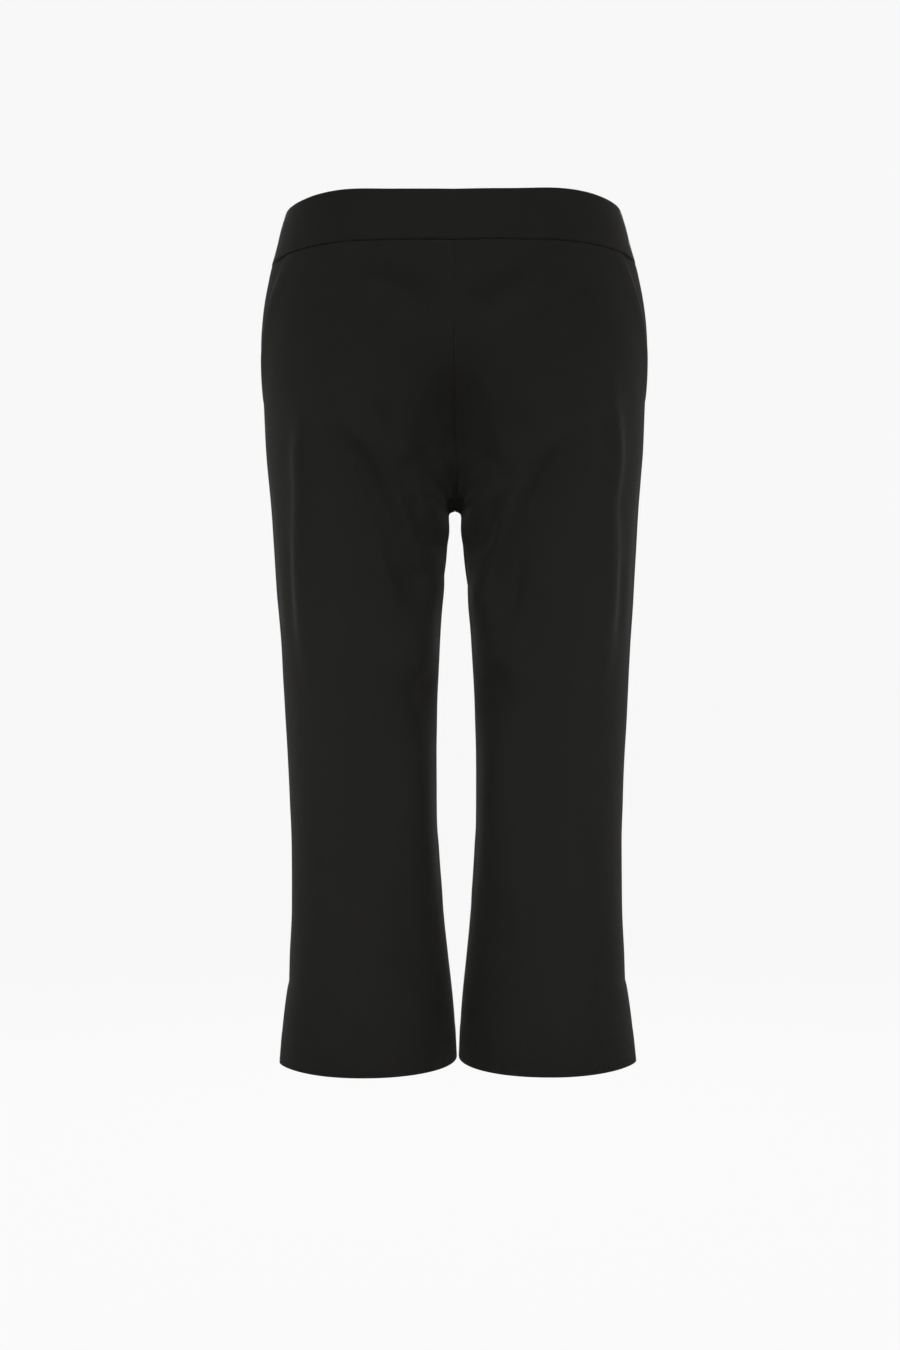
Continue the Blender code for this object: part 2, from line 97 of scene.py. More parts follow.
# ---------------------------------------------------------------- the folds
# Each is a soft trough (depth above 0) or ridge (below 0) along a curve, pressed in: (where, side, curve, half
# width, depth, lip). where "front" and "back" take (x, z); "side" takes (distance round from the side seam, z) and
# "inner" the same from the inseam, less than 0 over the front. side is 1 for the wearer's left, -1 for the right, 0
# for both. lip is how much of the depth rises beside it, above 0 on the curve's left as it runs, below 0 on its right.
FOLDS = (
    # front: from the hip across the thigh to the inner knee
    ("front", -1, ((-106, -176), (-83, -200), (-63, -241), (-38, -312), (-24, -352)), 10.5, 8.4, 0.3),
    ("front", 1, ((101, -180), (83, -212), (63, -250), (43, -325), (30, -362)), 11, 8.2, -0.3),
    ("front", -1, ((-66, -150), (-46, -205), (-30, -262)), 16, 3.2, 0.15),
    ("front", 1, ((60, -156), (44, -210), (30, -258)), 16, 3.0, -0.15),
    # front: short pulls beside the crotch
    ("front", -1, ((-40, -228), (-30, -256), (-17, -286)), 8.5, 5.4, 0.2),
    ("front", 1, ((36, -232), (28, -258), (19, -288)), 9, 5.6, -0.2),
    ("front", -1, ((-12, -200), (-15, -224), (-18, -246)), 8, 3.0, 0),
    ("front", 1, ((13, -204), (17, -228), (19, -248)), 8, 2.8, 0),
    ("front", -1, ((-15, -190), (-34, -212), (-58, -222)), 9, 2.6, 0.2),
    ("front", 1, ((13, -196), (32, -214), (52, -228)), 9, 2.5, -0.2),
    ("front", -1, ((-34, -292), (-24, -330)), 8, 1.9, 0),
    ("front", 1, ((46, -268), (34, -318)), 8, 1.5, 0),
    # front: faint hollows under the band
    ("front", -1, ((-78, -44), (-50, -64), (-17, -84)), 13, 3.8, 0.2),
    ("front", 1, ((72, -46), (45, -66), (11, -86)), 12, 3.5, -0.2),
    ("front", -1, ((-48, -26), (-47, -48)), 4, 0.7, 0),
    ("front", 1, ((118, -60), (96, -92), (80, -128)), 18, 1.2, 0),
    ("front", -1, ((-121, -66), (-100, -100), (-86, -140)), 18, 1.3, 0),
    # front: the knee and the calf
    ("front", -1, ((-30, -384), (-27, -418)), 9, 2.2, 0.2),
    ("front", 1, ((37, -378), (43, -424)), 11, 2.0, -0.2),
    ("front", 1, ((98, -396), (70, -412), (44, -408)), 12, 1.5, 0.3),
    ("front", -1, ((-104, -380), (-74, -402), (-46, -404)), 13, 1.5, -0.3),
    ("front", -1, ((-38, -530), (-42, -600), (-36, -704)), 15, 2.4, 0),
    ("front", 1, ((34, -560), (38, -640), (32, -706)), 14, 2.5, 0),
    ("front", -1, ((-96, -470), (-92, -560), (-100, -650)), 20, 1.4, 0),
    ("front", 1, ((100, -500), (95, -590), (102, -680)), 20, 1.3, 0),
    ("front", 0, ((74, -596), (75.5, -706)), 3.0, -0.3, 0),
    # sides: the cloth turns round the thigh along one soft ridge, well before the side seam
    ("side", -1, ((-91, -152), (-90, -186), (-89, -222), (-83, -258), (-78, -292), (-76, -348), (-78, -400)), 10.5, -5.2, 0),
    ("side", 1, ((-86, -126), (-84, -170), (-83, -206), (-85, -238), (-79, -275), (-76, -320), (-78, -380), (-82, -412)), 10.5, -5.2, 0),
    ("side", -1, ((-66, -262), (-62, -310), (-62, -362)), 8.5, 1.1, 0),
    ("side", 1, ((-64, -280), (-59, -318), (-61, -366)), 8.5, 1.0, 0),
    ("side", -1, ((-22, -200), (-25, -300), (-24, -390)), 12, 1.3, 0),
    ("side", 1, ((-24, -190), (-27, -310), (-26, -400)), 12, 1.3, 0),
    ("side", 0, ((30, -150), (24, -230), (36, -330)), 15, 1.6, 0.3),
    ("side", 1, ((12, -300), (-4, -380), (8, -452)), 12, 1.1, -0.3),
    ("side", -1, ((14, -286), (0, -366), (6, -446)), 13, 1.2, -0.3),
    ("side", 1, ((44, -420), (20, -446), (-8, -456)), 12, 1.0, 0.3),
    ("side", -1, ((48, -400), (22, -432), (-4, -444)), 11, 1.1, 0.3),
    ("side", 0, ((-6, -500), (3, -570), (-2, -636)), 15, 1.0, 0),
    ("side", 1, ((52, -60), (34, -96), (12, -118)), 12, 0.9, 0.2),
    ("side", -1, ((56, -66), (36, -98), (14, -124)), 12, 0.8, 0.2),
    # inner legs
    ("inner", -1, ((-60, -298), (-64, -345), (-61, -398)), 23, -5.4, 0),
    ("inner", 1, ((-61, -296), (-64, -340), (-60, -392)), 23, -5.2, 0),
    ("inner", 0, ((-58, -416), (-56, -500), (-58, -610)), 25, -4.4, 0),
    ("inner", 0, ((-8, -520), (-7, -560), (-9, -600)), 6.5, -0.9, 0),
    ("inner", -1, ((-26, -250), (-8, -296), (14, -330)), 9, 1.1, 0.3),
    ("inner", 1, ((-24, -254), (-8, -300), (16, -340)), 9, 1.2, 0.3),
    ("inner", 0, ((34, -262), (18, -330), (26, -410)), 12, 1.6, -0.3),
    ("inner", -1, ((6, -430), (24, -462), (52, -480)), 11, 1.1, 0.2),
    ("inner", 1, ((4, -438), (26, -474), (56, -486)), 11, 1.2, 0.2),
    ("inner", 0, ((14, -600), (10, -650), (16, -706)), 12, 0.9, 0),
    # back: under the seat, and from it to the inner knee
    ("back", -1, ((-128, -196), (-98, -228), (-60, -246), (-24, -244)), 13, 2.2, 0.4),
    ("back", 1, ((131, -190), (100, -224), (62, -245), (26, -240)), 13, 2.3, -0.4),
    ("back", -1, ((-112, -238), (-84, -272), (-56, -332), (-34, -392)), 14, 2.2, 0.3),
    ("back", 1, ((108, -246), (82, -282), (58, -338), (40, -402)), 14, 2.1, -0.3),
    ("back", -1, ((-20, -206), (-40, -250), (-46, -306)), 10, 1.6, 0.3),
    ("back", 1, ((18, -210), (37, -256), (44, -318)), 10, 1.7, -0.3),
    ("back", -1, ((-22, -60), (-52, -84), (-90, -92)), 15, 0.9, 0.2),
    ("back", 1, ((24, -56), (56, -80), (92, -84)), 15, 0.8, -0.2),
    ("back", 1, ((14, -150), (30, -178), (58, -196)), 11, 0.9, 0.2),
    ("back", -1, ((-13, -158), (-32, -184), (-60, -198)), 11, 0.9, -0.2),
    ("back", -1, ((-118, -424), (-84, -448), (-44, -446)), 10, 1.7, 0.35),
    ("back", 1, ((112, -436), (80, -456), (42, -450)), 10, 1.6, -0.35),
    ("back", -1, ((-36, -486), (-70, -500), (-108, -492)), 9, 1.1, 0.3),
    ("back", 1, ((40, -494), (72, -506), (104, -494)), 9, 1.2, -0.3),
    ("back", 1, ((96, -380), (78, -404), (58, -412)), 9, 0.9, 0),
    ("back", -1, ((-60, -530), (-56, -610), (-64, -700)), 18, 1.3, 0),
    ("back", 1, ((62, -540), (58, -620), (66, -704)), 18, 1.2, 0),
    ("back", -1, ((-112, -540), (-108, -640)), 16, 0.7, 0),
    ("back", 1, ((36, -580), (32, -690)), 12, 0.8, 0),
)


# where the cloth sinks in along the centre seams, between the thighs and over the seat
HOLLOW = {
    "front": {"z": (-108, -120, -132, -148, -165, -188, -208, -222, -232, -240, -248, -300), "depth": (0, 0.6, 2.6, 7.4, 11.0, 11.6, 9.6, 6.0, 2.8, 0.7, 0, 0), "width": (12, 13, 16, 22, 29, 34, 36, 36, 35, 34, 30, 30)},
    "back": {"z": (-30, -60, -100, -150, -190, -225, -250, -300), "depth": (0, 0.5, 1.8, 3.4, 3.6, 2.0, 0, 0), "width": (12, 12, 15, 19, 24, 28, 30, 30)},
}


# ---------------------------------------------------------------- the form, as in the CAD
def read(table, name, at, key="z"):
    """A table's column at these places, along a smooth curve through its rows."""
    x = np.array(table[key], float)
    y = np.array(table[name], float)
    order = np.argsort(x)
    x, y = x[order], y[order]
    slope = np.gradient(y, x)
    at = np.clip(np.asarray(at, float), x[0], x[-1])
    k = np.clip(np.searchsorted(x, at) - 1, 0, len(x) - 2)
    h = x[k + 1] - x[k]
    t = (at - x[k]) / h
    return (
        (2 * t**3 - 3 * t**2 + 1) * y[k]
        + (t**3 - 2 * t**2 + t) * h * slope[k]
        + (3 * t**2 - 2 * t**3) * y[k + 1]
        + (t**3 - t**2) * h * slope[k + 1]
    )


def power(v, square):
    return np.sign(v) * np.abs(v) ** (2.0 / square)


def ease(t):
    t = np.clip(t, 0, 1)
    return t * t * (3 - 2 * t)


def crotch_pull(z, half):
    """How far the crotch curve has gone from the front or back (0) to the crotch (1) at each z."""
    top, p = RISE_TOP[half], RISE_ROUND[half]
    t = np.clip((top - z) / (top - CROTCH_Z), 0, 1)
    return 1 - (1 - t**p) ** (1 / p)


def sections(z, half):
    """Points of the half section at each z, from the centre seam or inseam to the side seam."""
    z = np.asarray(z, float)[:, None]
    way = -1.0 if half == "front" else 1.0
    k = np.linspace(0, 1, CURVE_POINTS)[None, :]
    side, depth, square = read(SIDE, "half_width", z), read(DEPTH, half, z), read(SQUARE, "square", z)
    pull = crotch_pull(z, half)
    quarter = np.pi / 2 * (1 - k**1.6)
    hip_x = side * power(np.cos(quarter), square)
    hip_y = depth * power(np.sin(quarter), square) * (1 - pull * np.exp(-((hip_x / VALLEY) ** 2)))
    gap, inner_square = read(LEG, "gap", z), read(LEG, "inner_square", z)
    crown = gap + (side - gap) * read(LEG, "crown", z)
    start = np.pi - np.arcsin(np.clip(1 - pull, 0, 1) ** (inner_square / 2))
    turn = start * (1 - k)
    inward = np.cos(turn) < 0
    bend = np.where(inward, inner_square, square)
    leg_x = crown + np.where(inward, crown - gap, side - crown) * power(np.cos(turn), bend)
    leg_y = depth * power(np.sin(turn), bend)
    drop = np.clip((CROTCH_Z - z) / ARCH, 0, 1)
    shut = np.where(z >= CROTCH_Z, 1.0, 1 - np.sqrt(1 - (1 - drop) ** 2))
    blend = BLEND[0] + (BLEND[1] - BLEND[0]) * ease((z - CROTCH_Z) / 70)
    leg_x = leg_x - shut * leg_x[:, :1] * (1 - ease(k / blend))
    m = ease((RISE_TOP[half] - z) / (RISE_TOP[half] - CROTCH_Z) / 0.96)
    x = (1 - m) * hip_x + m * leg_x
    y = (1 - m) * hip_y + m * leg_y
    return np.stack([x, way * y + read(LEG, "middle", z)], axis=-1)


def even_lengths(half):
    """The half section's length at each z with its quick change at the crotch smoothed out, as a table."""
    z = np.arange(60.0, -760.0, -1.0)
    lengths = np.linalg.norm(np.diff(sections(z, half), axis=1), axis=2).sum(axis=1)
    k = np.arange(-45, 46)
    bell = np.exp(-((k / 15.0) ** 2))
    smooth = np.convolve(np.pad(lengths, 45, mode="edge"), bell / bell.sum(), mode="valid")
    return z[::-1], smooth[::-1]


def on_sections(share, z, half):
    """(points, section lengths, distances from its start) at these shares of the half section, for flat share and z."""
    out, lengths, place = np.empty((len(z), 3)), np.empty(len(z)), np.empty(len(z))
    even = np.interp(z, *EVEN[half]) if EVEN else None
    for low in range(0, len(z), 4000):
        part = slice(low, low + 4000)
        curve = sections(z[part], half)
        step = np.linalg.norm(np.diff(curve, axis=1), axis=2)
        run = np.concatenate([np.zeros((len(curve), 1)), np.cumsum(step, axis=1)], axis=1)
        want = share[part] * run[:, -1]
        if even is not None:
            # measured from the side seam, with the rest of the length taken up close to the inner edge
            to_side = 1 - share[part]
            want = run[:, -1] - (to_side * even[part] + to_side**9 * (run[:, -1] - even[part]))
        k = np.clip((run < want[:, None]).sum(axis=1) - 1, 0, CURVE_POINTS - 2)
        n = np.arange(len(curve))
        t = ((want - run[n, k]) / (run[n, k + 1] - run[n, k]))[:, None]
        # a smooth curve through the section's points, so that the fine grid shows no flats
        p0, p1, p2, p3 = (curve[n, np.clip(k + d, 0, CURVE_POINTS - 1)] for d in (-1, 0, 1, 2))
        d0 = (p2 - p0) / (run[n, np.clip(k + 1, 0, CURVE_POINTS - 1)] - run[n, np.clip(k - 1, 0, CURVE_POINTS - 1)])[:, None]
        d1 = (p3 - p1) / (run[n, np.clip(k + 2, 0, CURVE_POINTS - 1)] - run[n, k])[:, None]
        h = (run[n, k + 1] - run[n, k])[:, None]
        out[part, :2] = (
            (2 * t**3 - 3 * t**2 + 1) * p1
            + (t**3 - 2 * t**2 + t) * h * d0
            + (3 * t**2 - 2 * t**3) * p2
            + (t**3 - t**2) * h * d1
        )
        out[part, 2] = z[part]
        lengths[part] = run[:, -1]
        place[part] = want
    return out, lengths, place


EVEN = {}
EVEN.update({half: even_lengths(half) for half in ("front", "back")})


def seam_levels(half):
    """z of each level at the centre seam and inseam: evenly spread along the crotch curve, then down the inseam."""
    fine = np.concatenate([np.linspace(-20, CROTCH_Z + 3, 200), CROTCH_Z + 3 * (1 - np.linspace(0, 1, 60)[1:]) ** 3])
    y = on_sections(np.zeros(len(fine)), fine, half)[0][:, 1]
    run = np.concatenate([[0], np.cumsum(np.hypot(np.diff(y), np.diff(fine)))])
    above = np.interp(np.linspace(0, run[-1], RISE + 1), run, fine)
    close = np.array([0.0, 0.8, 2.6, 8.0, 19.0])
    far = np.linspace(close[-1], CROTCH_Z - HEM_Z["inseam"], LEVELS - RISE - len(close) + 2)
    return np.concatenate([above, CROTCH_Z - close[1:], CROTCH_Z - far[1:]])


INNER_Z = {half: seam_levels(half) for half in ("front", "back")}
SIDE_Z = np.linspace(WAIST["front"]["seam"][-1], HEM_Z["side"], LEVELS + 1)


def between(level, values):
    """A list of values by level, read along a smooth curve that never turns back between two of them."""
    step = np.diff(values)
    slope = np.zeros(len(values))
    slope[1:-1] = np.where(step[1:] * step[:-1] > 0, 2 * step[1:] * step[:-1] / np.where(step[1:] + step[:-1] == 0, 1, step[1:] + step[:-1]), 0)
    slope[0], slope[-1] = step[0], step[-1]
    k = np.clip(np.floor(level).astype(int), 0, len(values) - 2)
    t = np.clip(level - k, 0, 1)
    return (
        (2 * t**3 - 3 * t**2 + 1) * values[k]
        + (t**3 - 2 * t**2 + t) * slope[k]
        + (3 * t**2 - 2 * t**3) * values[k + 1]
        + (t**3 - t**2) * slope[k + 1]
    )


def heights(share, level, half):
    """z at each share and level: level -1 is the waist edge, 0 the band's seam and LEVELS the hem."""
    down = np.maximum(level, 0)
    pull = (1 - share) ** 2
    inner_z = INNER_Z[half]
    base = pull * between(down, inner_z) + (1 - pull) * between(down, SIDE_Z)
    first = pull * inner_z[0] + (1 - pull) * SIDE_Z[0]
    seam, top = read(WAIST[half], "seam", share, "share"), read(WAIST[half], "top", share, "share")
    z = base + (seam - first) * np.clip(1 - down / (0.11 * LEVELS), 0, 1)
    return np.where(level < 0, seam + (top - seam) * -level, z)


def side_level(z):
    return float(np.interp(-z, -SIDE_Z, np.arange(LEVELS + 1)))


POCKET_LEVEL, SLIT_LEVEL = side_level(POCKET_Z), side_level(SLIT_Z)


def pocket_inset(level):
    """How far before the side seam the front panel's pocket edge lies."""
    return POCKET_START * (1 - np.clip(level / POCKET_LEVEL, 0, 1)) ** 0.85


# ---------------------------------------------------------------- folds and unevenness
def curve_through(points, n=22):
    """A smooth open curve through a few points."""
    p = np.array(points, float)
    if len(p) == 2:
        return p[0] + (p[1] - p[0]) * np.linspace(0, 1, 8)[:, None]
    run = np.concatenate([[0], np.cumsum(np.linalg.norm(np.diff(p, axis=0), axis=1))])
    at = np.linspace(0, run[-1], n)
    table = {"run": run, "a": p[:, 0], "b": p[:, 1]}
    return np.stack([read(table, "a", at, "run"), read(table, "b", at, "run")], axis=-1)


def press(u, z, points, width, depth, lip):
    """How far one fold moves the cloth along its normal at places (u, z): in for a trough, out for its lip or a ridge."""
    line = curve_through(points)
    reach = 3.6 * width
    low, high = line.min(axis=0) - reach, line.max(axis=0) + reach
    near = (u > low[0]) & (u < high[0]) & (z > low[1]) & (z < high[1])
    out = np.zeros(np.shape(z))
    if not near.any():
        return out
    q = np.stack([u[near], z[near]], axis=-1)
    best = np.full(len(q), 1e9)
    along, beside = np.zeros(len(q)), np.zeros(len(q))
    steps = np.linalg.norm(np.diff(line, axis=0), axis=1)
    starts = np.concatenate([[0], np.cumsum(steps)])
    for n in range(len(line) - 1):
        d = (line[n + 1] - line[n]) / steps[n]
        rel = q - line[n]
        t = np.clip(rel @ d, 0, steps[n])
        away = np.linalg.norm(rel - t[:, None] * d, axis=1)
        closer = away < best
        best = np.where(closer, away, best)
        along = np.where(closer, (starts[n] + t) / starts[-1], along)
        beside = np.where(closer, d[0] * rel[:, 1] - d[1] * rel[:, 0], beside)
    fade = ease(0.12 + along / 0.3) * ease(0.12 + (1 - along) / 0.34)
    local = width * (0.8 + 0.45 * along)
    value = -depth * np.exp(-((best / local) ** 2))
    if lip:
        way = np.sign(lip)
        value += abs(lip) * depth * np.exp(-(((way * beside - 1.75 * local) / (0.95 * local)) ** 2)) * np.exp(-np.maximum(best - np.abs(beside), 0) / width)
    out[near] = value * fade
    return out


def speckle(ix, iy, iz, seed):
    h = ix.astype(np.uint32) * np.uint32(73856093) ^ iy.astype(np.uint32) * np.uint32(19349663) ^ iz.astype(np.uint32) * np.uint32(83492791) ^ np.uint32(seed * 2654435 + 97)
    h = (h ^ (h >> np.uint32(15))) * np.uint32(2246822519)
    h = (h ^ (h >> np.uint32(13))) * np.uint32(3266489917)
    return ((h ^ (h >> np.uint32(16))).astype(float) / 4294967295.0) * 2 - 1


def noise(p, size, seed):
    """Smooth unevenness from -1 to 1 with this feature size, the same each time."""
    q = p / np.asarray(size, float) + 1000.0
    cell = np.floor(q).astype(np.int64)
    f = q - cell
    f = f * f * f * (f * (f * 6 - 15) + 10)
    total = np.zeros(p.shape[:-1])
    for dx in (0, 1):
        for dy in (0, 1):
            for dz in (0, 1):
                w = (f[..., 0] if dx else 1 - f[..., 0]) * (f[..., 1] if dy else 1 - f[..., 1]) * (f[..., 2] if dz else 1 - f[..., 2])
                total += w * speckle(cell[..., 0] + dx, cell[..., 1] + dy, cell[..., 2] + dz, seed)
    return total


def folded(points, normals, half, side, from_side, from_inner):
    """How far all the folds and the cloth's own unevenness move it, for world points of one panel."""
    x, z = points[..., 0], points[..., 2]
    sign = -1.0 if half == "front" else 1.0
    facing = ease((from_side - 4) / 26)  # x tells little of the way round close to the side seam
    at_inner = ease((from_inner - 1) / 13)
    total = np.zeros(x.shape)
    for where, one, curve, width, depth, lip in FOLDS:
        if where == half:
            for way in (1, -1) if one == 0 else (one,):
                # a fold for one side reads x itself, so it crosses the centre seam as one fold
                value = press(x * (way if one == 0 else 1), z, curve, width, depth, lip)
                total += value * facing * at_inner
        elif where == "side" and one in (0, side):
            total += press(sign * from_side, z, curve, width, depth, lip)
        elif where == "inner" and one in (0, side):
            total += press(sign * from_inner, z, curve, width, depth, lip) * ease((CROTCH_Z + 4 - z) / 22)
    uneven = 0.42 * noise(points, (74, 74, 96), 3) + 0.17 * noise(points, (31, 31, 40), 5) + 0.045 * noise(points, (12, 12, 15), 7)
    return total, uneven


def hollow(points, half):
    """How far the cloth sinks in along the centre seam, the same left and right, so that the two sides stay joined."""
    t = HOLLOW[half]
    x, z = points[..., 0], points[..., 2]
    return read(t, "depth", z) * np.exp(-((x / read(t, "width", z)) ** 2))


# ---------------------------------------------------------------- grids
ROLL = (0.0, 0.14, 0.42, 0.9, 1.5, 2.3, 3.4, 5.0, 7.2)  # distances from an edge where a grid is fine enough to roll it


def normals_of(p, out):
    """Unit normals of a grid, turned the way that out says."""
    du, dv = np.gradient(p, axis=1), np.gradient(p, axis=0)
    n = np.cross(du, dv) * out
    return n / np.maximum(np.linalg.norm(n, axis=-1, keepdims=True), 1e-12)


def rolled(distance, radius):
    """How far an edge has turned down at this distance from it, on a quarter circle."""
    d = np.clip(distance, 0, radius)
    return radius - np.sqrt(np.maximum(radius**2 - (radius - d) ** 2, 0))


def with_ends(total, step, near, far):
    """Places from 0 to total: fine ones beside each end, then even ones."""
    near, far = np.array(near, float), np.array(far, float)
    middle = np.linspace(near[-1], total - far[-1], max(3, int(round((total - near[-1] - far[-1]) / step)) + 1))
    return np.concatenate([near[:-1], middle, (total - far[:-1])[::-1]])


def surface(half, share, level):
    """Points of the plain form for x > 0, and how far round each is from the side seam and from the inner edge."""
    z = heights(share, level, half)
    points, width, place = on_sections(share.ravel(), z.ravel(), half)
    points, width, place = points.reshape(*z.shape, 3), width.reshape(z.shape), place.reshape(z.shape)
    if half == "front":
        # soft cloth bridges the narrow valley between the thighs a little, just above the crotch
        behind = np.maximum(points[..., 1] + read(DEPTH, "front", z) - read(LEG, "middle", z), 0)
        close = ease((z - CROTCH_Z) / 6) * ease((-180 - z) / 28) * np.exp(-((points[..., 0] / 26) ** 4))
        points[..., 1] -= VALLEY_FILL * close * behind**2 / (behind + 6)
    flap = FLAP[half]
    drop = np.clip((SLIT_Z - z) / (SLIT_Z - HEM_Z["side"]), 0, 1)
    points[..., 0] += flap["spread"] * drop**0.8 * np.exp(-(((1 - share) * 240 / 46.0) ** 2))
    return points, width - place, place


def panel_form(half):
    """The fine grid of a leg panel for x > 0: points, normals, and how far each point is from the piece's edges."""
    fine = 1.0 / 24.4  # levels to a millimetre, near enough for the edges
    level = with_ends(LEVELS, 1 / 7.6, np.array(ROLL) * fine, np.array(ROLL) * fine)
    marks = [RISE, SLIT_LEVEL] + ([POCKET_LEVEL] if half == "front" else [])
    for m in marks:
        level[np.abs(level - m).argmin()] = m
    columns = with_ends(1.0, 1 / 86.0, np.array(ROLL) / 250.0, np.array(ROLL) / 250.0)
    near = np.minimum(columns, 1 - columns) < ROLL[-1] / 250.0 - 1e-9
    width = on_sections(np.zeros(len(level)), heights(np.full(len(level), 0.5), level, half), half)[1]
    begin = np.full(len(level), EDGE)
    cut = EDGE + FLAP[half]["open"] * np.clip((level - SLIT_LEVEL) / (LEVELS - SLIT_LEVEL), 0, 1)
    if half == "front":
        cut = np.where(level < POCKET_LEVEL - 1e-6, np.maximum(cut, pocket_inset(level)), cut)
    last = width - cut
    # fine columns keep their distance in mm from each edge, the others share what is left
    low, high = ROLL[-1], ROLL[-1]
    inside = (columns * 250.0 - low) / (250.0 - low - high)
    place = begin[:, None] + low + (last - begin - low - high)[:, None] * inside[None, :]
    place = np.where(near & (columns < 0.5), begin[:, None] + columns[None, :] * 250.0, place)
    place = np.where(near & (columns > 0.5), last[:, None] - (1 - columns)[None, :] * 250.0, place)
    share = np.clip(place / width[:, None], 0, 1)
    levels = np.repeat(level[:, None], len(columns), axis=1)
    levels[0] += 0.12 * fine
    points, from_side, from_inner = surface(half, share, levels)
    out = -1.0 if half == "front" else 1.0
    normals = normals_of(points, out)
    top_part = level <= RISE + 1e-9
    # at the centre seam the edge turns straight into the body, in the garment's own middle plane
    t = np.gradient(points[:, 0], axis=0)
    m = np.stack([np.zeros(len(t)), t[:, 2], -t[:, 1]], axis=-1) * (1.0 if half == "front" else -1.0)
    m /= np.maximum(np.linalg.norm(m, axis=-1, keepdims=True), 1e-9)
    from_start = place - begin[:, None]
    turn = np.where(top_part[:, None], 1 - ease(from_start / 4.0), 0.0)[..., None]
    normals = normals * (1 - turn) + m[:, None, :] * turn
    normals /= np.linalg.norm(normals, axis=-1, keepdims=True)
    down = np.linalg.norm(np.diff(points, axis=0), axis=-1)
    from_top = np.concatenate([np.zeros((1, len(columns))), np.cumsum(down, axis=0)])
    return {
        "half": half,
        "points": points,
        "normals": normals,
        "level": levels,
        "from_start": from_start,
        "from_end": last[:, None] - place,
        "from_top": from_top,
        "from_hem": from_top[-1:] - from_top,
        "from_side": from_side,
        "from_inner": from_inner,
        "columns": columns,
    }


def mirrored(g, side):
    flip = np.array([float(side), 1.0, 1.0])
    return g["points"] * flip, g["normals"] * flip


def shell(name, outer, inner, uv, turned, finish, close_top=True):
    """A closed shell of cloth between two grids of one shape. turned says that the grid's faces, read row by row, point in."""
    rows, columns = outer.shape[:2]
    count = rows * columns
    number = np.arange(count).reshape(rows, columns)
    a, b, c, d = number[:-1, :-1], number[:-1, 1:], number[1:, 1:], number[1:, :-1]
    out = np.stack([a, b, c, d], axis=-1).reshape(-1, 4)
    ins = np.stack([a, d, c, b], axis=-1).reshape(-1, 4) + count
    rim = []
    for line in (number[:, 0], number[-1, :], number[::-1, -1], number[0, ::-1]):
        rim.append(np.stack([line[:-1], line[1:], line[1:] + count, line[:-1] + count], axis=-1))
    faces = np.concatenate([out, ins, *rim])
    if not turned:
        faces = faces[:, ::-1]
    mesh = bpy.data.meshes.new(name)
    points = np.concatenate([outer.reshape(-1, 3), inner.reshape(-1, 3)]) * 0.001
    mesh.vertices.add(len(points))
    mesh.vertices.foreach_set("co", points.astype(np.float32).ravel())
    mesh.loops.add(faces.size)
    mesh.loops.foreach_set("vertex_index", faces.astype(np.int32).ravel())
    mesh.polygons.add(len(faces))
    mesh.polygons.foreach_set("loop_start", np.arange(0, faces.size, 4, dtype=np.int32))
    mesh.polygons.foreach_set("loop_total", np.full(len(faces), 4, np.int32))
    layer = mesh.uv_layers.new(name="UVMap")
    flat = np.concatenate([uv.reshape(-1, 2), uv.reshape(-1, 2) + 0.0031]) * 1.0
    layer.data.foreach_set("uv", flat[faces.ravel()].astype(np.float32).ravel())
    mesh.update(calc_edges=True)
    mesh.validate()
    mesh.shade_smooth()
    obj = bpy.data.objects.new(name, mesh)
    mesh.materials.append(finish)
    bpy.context.scene.collection.objects.link(obj)
    return obj


def lengths_of(points):
    """Distance along a grid's rows, and down its columns, from its first point, in metres: a place on the cut cloth."""
    across = np.concatenate([np.zeros((len(points), 1)), np.cumsum(np.linalg.norm(np.diff(points, axis=1), axis=-1), axis=1)], axis=1)
    across -= across.mean(axis=1, keepdims=True)
    down = np.concatenate([np.zeros((1, points.shape[1])), np.cumsum(np.linalg.norm(np.diff(points, axis=0), axis=-1), axis=0)])
    down = np.repeat(down.mean(axis=1)[:, None], points.shape[1], axis=1)
    return np.stack([across, -down], axis=-1) * 0.001


